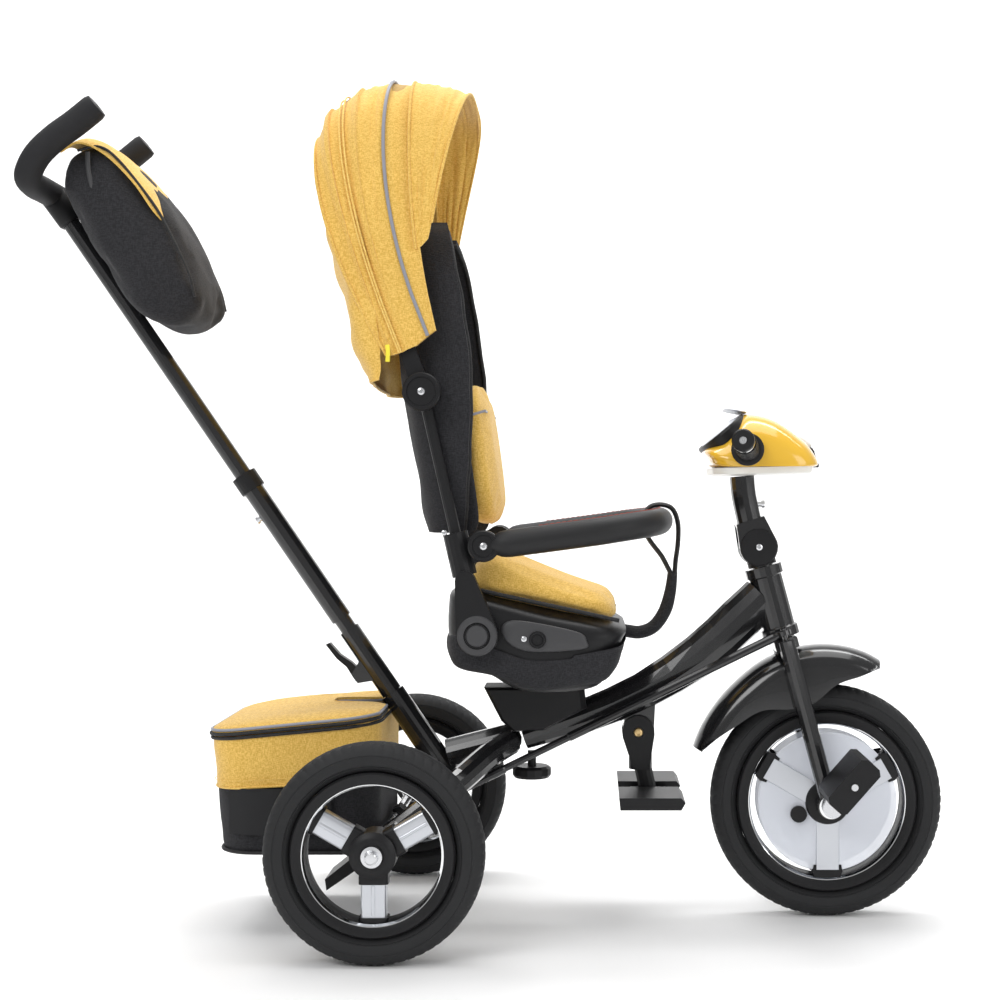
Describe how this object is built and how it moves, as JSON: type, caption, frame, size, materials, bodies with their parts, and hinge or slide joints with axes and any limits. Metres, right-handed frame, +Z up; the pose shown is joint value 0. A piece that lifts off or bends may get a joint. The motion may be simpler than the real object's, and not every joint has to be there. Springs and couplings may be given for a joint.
{
  "type": "children's tricycle",
  "caption": "Child's tricycle with a turning padded seat, tilting fabric canopy, telescoping parent push bar that steers, fold-down handlebar, footrest and rear basket.",
  "frame": {"origin": "on the ground, at the middle of the whole length and width", "axes": "+X is the way the tricycle rolls forward, +Y is the rider's left, +Z is up"},
  "size_m": [1.1596, 0.5162, 1.05],
  "materials": {
    "gloss_black_paint": "gloss black paint on steel tube",
    "zinc_steel": "bright zinc-plated steel",
    "black_plastic": "satin black moulded plastic",
    "black_fabric": "black woven polyester",
    "yellow_fabric": "golden yellow woven polyester",
    "yellow_plastic": "glossy yellow moulded plastic",
    "pale_plastic": "off-white moulded plastic",
    "tyre_rubber": "black moulded rubber",
    "clear_cover": "translucent white moulded plastic",
    "bumper_leather": "black imitation leather over foam",
    "grip_foam": "black closed-cell foam"
  },
  "bodies": {
    "frame": {"main_tube": "gloss_black_paint", "head_tube": "gloss_black_paint", "push_bar_socket": "gloss_black_paint", "centre_strut": "gloss_black_paint", "rear_arm_right": "gloss_black_paint", "rear_arm_left": "gloss_black_paint", "rear_axle": "zinc_steel", "seat_stand": "black_plastic", "basket_body": "black_fabric"},
    "fork": {"fork": "gloss_black_paint", "fold_knuckle": "black_plastic", "front_mudguard": "gloss_black_paint"},
    "handlebar": {"stem_tube": "gloss_black_paint", "console_shell": "yellow_plastic", "console_base": "pale_plastic", "head_lamp": "pale_plastic", "handlebar_tube": "zinc_steel", "grip_right": "black_plastic", "grip_left": "black_plastic"},
    "stem_button": {"stem_button": "zinc_steel"},
    "front_wheel": {"front_tyre": "tyre_rubber", "front_rim": "black_plastic", "wheel_covers": "clear_cover", "crankshaft": "zinc_steel"},
    "freewheel_button": {"freewheel_button": "black_plastic"},
    "pedal_right": {"pedal_right": "black_plastic"},
    "pedal_left": {"pedal_left": "black_plastic"},
    "rear_wheel_right": {"rear_tyre_right": "tyre_rubber", "rear_rim_right": "black_plastic"},
    "rear_wheel_left": {"rear_tyre_left": "tyre_rubber", "rear_rim_left": "black_plastic"},
    "push_bar": {"push_bar_sleeve": "gloss_black_paint", "push_bar_outer_tube": "gloss_black_paint", "push_bar_collar": "black_plastic"},
    "push_bar_top": {"push_bar_inner_tube": "gloss_black_paint", "push_handle": "grip_foam", "handle_bag": "black_fabric"},
    "telescope_button": {"telescope_button": "zinc_steel"},
    "latch_lever": {"latch_lever": "black_plastic"},
    "steering_rod": {"steering_rod": "gloss_black_paint"},
    "seat": {"seat_shell": "black_plastic", "seat_cushion": "yellow_fabric", "crotch_strap": "black_fabric"},
    "seat_knob": {"seat_knob": "black_plastic"},
    "backrest": {"recline_arm_right": "black_plastic", "recline_arm_left": "black_plastic", "backrest_shell": "black_fabric", "back_cushion": "yellow_fabric", "canopy_rear_curtain": "yellow_fabric"},
    "recline_button_right": {"recline_button_right": "black_plastic"},
    "recline_button_left": {"recline_button_left": "black_plastic"},
    "canopy": {"canopy_shell": "yellow_fabric", "canopy_arm_right": "black_plastic", "canopy_arm_left": "black_plastic"},
    "bumper": {"bumper_bar": "bumper_leather", "bumper_loop": "black_fabric"},
    "footrest": {"footrest_leg": "black_plastic", "footrest_plates": "black_plastic"},
    "brake_pedal": {"brake_pedal": "black_plastic"},
    "basket_lid": {"basket_lid": "yellow_fabric"}
  },
  "joints": [
    {"name": "steer", "type": "hinge", "parent": "frame", "child": "fork", "pos_m": [0.37579, 0, 0.35703], "axis": [-0.2588, 0, 0.9659], "range_deg": [-25, 25]},
    {"name": "handlebar_fold", "type": "hinge", "parent": "fork", "child": "handlebar", "pos_m": [0.34491, 0, 0.47226], "axis": [0, 1, 0], "range_deg": [0, 78]},
    {"name": "stem_button_press", "type": "slide", "parent": "handlebar", "child": "stem_button", "axis": [-1, 0, 0], "range_m": [0, 0.0015], "stiffness_N_per_m": 1500},
    {"name": "front_wheel_spin", "type": "hinge", "parent": "fork", "child": "front_wheel", "pos_m": [0.4318, 0, 0.148], "axis": [0, 1, 0], "continuous": true},
    {"name": "freewheel_button_press", "type": "slide", "parent": "front_wheel", "child": "freewheel_button", "axis": [0, 1, 0], "range_m": [0, 0.003]},
    {"name": "pedal_right_spin", "type": "hinge", "parent": "front_wheel", "child": "pedal_right", "pos_m": [0.4442, 0, 0.19126], "axis": [0, 1, 0], "continuous": true},
    {"name": "pedal_left_spin", "type": "hinge", "parent": "front_wheel", "child": "pedal_left", "pos_m": [0.4194, 0, 0.10474], "axis": [0, 1, 0], "continuous": true},
    {"name": "rear_wheel_right_spin", "type": "hinge", "parent": "frame", "child": "rear_wheel_right", "pos_m": [-0.1182, 0, 0.128], "axis": [0, 1, 0], "continuous": true},
    {"name": "rear_wheel_left_spin", "type": "hinge", "parent": "frame", "child": "rear_wheel_left", "pos_m": [-0.1182, 0, 0.128], "axis": [0, 1, 0], "continuous": true},
    {"name": "push_bar_turn", "type": "hinge", "parent": "frame", "child": "push_bar", "pos_m": [-0.0378, 0, 0.1578], "axis": [-0.565, 0, 0.8251], "range_deg": [-25, 25]},
    {"name": "push_bar_telescope", "type": "slide", "parent": "push_bar", "child": "push_bar_top", "axis": [0.565, 0, -0.8251], "range_m": [0, 0.12]},
    {"name": "telescope_button_press", "type": "slide", "parent": "push_bar", "child": "telescope_button", "axis": [0.8251, 0, 0.565], "range_m": [0, 0.0014], "stiffness_N_per_m": 1500},
    {"name": "latch_turn", "type": "hinge", "parent": "push_bar", "child": "latch_lever", "pos_m": [-0.16792, 0, 0.30624], "axis": [0, 1, 0], "range_deg": [-14, 0], "stiffness_Nm_per_rad": 0.5},
    {"name": "steering_rod_swing", "type": "hinge", "parent": "fork", "child": "steering_rod", "pos_m": [0.37357, -0.046, 0.36533], "axis": [-0.2587, -0.0321, 0.9654], "range_deg": [-26, 26]},
    {"name": "seat_turn", "type": "hinge", "parent": "frame", "child": "seat", "pos_m": [0.0548, 0, 0.2945], "axis": [0, 0, 1], "range_deg": [0, 180]},
    {"name": "seat_knob_turn", "type": "hinge", "parent": "frame", "child": "seat_knob", "pos_m": [0.0548, 0, 0.191], "axis": [0, 0, 1], "range_deg": [0, 180]},
    {"name": "backrest_recline", "type": "hinge", "parent": "seat", "child": "backrest", "pos_m": [-0.0044, 0, 0.3716], "axis": [0, 1, 0], "range_deg": [-15, 0]},
    {"name": "recline_button_right_press", "type": "slide", "parent": "backrest", "child": "recline_button_right", "axis": [0, 1, 0], "range_m": [0, 0.004], "stiffness_N_per_m": 1500},
    {"name": "recline_button_left_press", "type": "slide", "parent": "backrest", "child": "recline_button_left", "axis": [0, -1, 0], "range_m": [0, 0.004], "stiffness_N_per_m": 1500},
    {"name": "canopy_tilt", "type": "hinge", "parent": "backrest", "child": "canopy", "pos_m": [-0.0696, 0, 0.661], "axis": [0, 1, 0], "range_deg": [0, 70]},
    {"name": "bumper_swing", "type": "hinge", "parent": "backrest", "child": "bumper", "pos_m": [0.0039, 0, 0.4783], "axis": [0, 1, 0], "range_deg": [-10, 0]},
    {"name": "footrest_fold", "type": "hinge", "parent": "frame", "child": "footrest", "pos_m": [0.1913, 0, 0.2355], "axis": [0, 1, 0], "range_deg": [-36, 0]},
    {"name": "brake_press", "type": "hinge", "parent": "frame", "child": "brake_pedal", "pos_m": [-0.1182, 0, 0.128], "axis": [0, 1, 0], "range_deg": [-8, 0]},
    {"name": "basket_lid_open", "type": "hinge", "parent": "frame", "child": "basket_lid", "pos_m": [-0.1267, 0, 0.2645], "axis": [0, 1, 0], "range_deg": [0, 32]}
  ],
  "couplings": [
    {"joint": "push_bar_turn", "follows": "steer", "ratio": 1},
    {"joint": "steering_rod_swing", "follows": "steer", "ratio": -1}
  ]
}
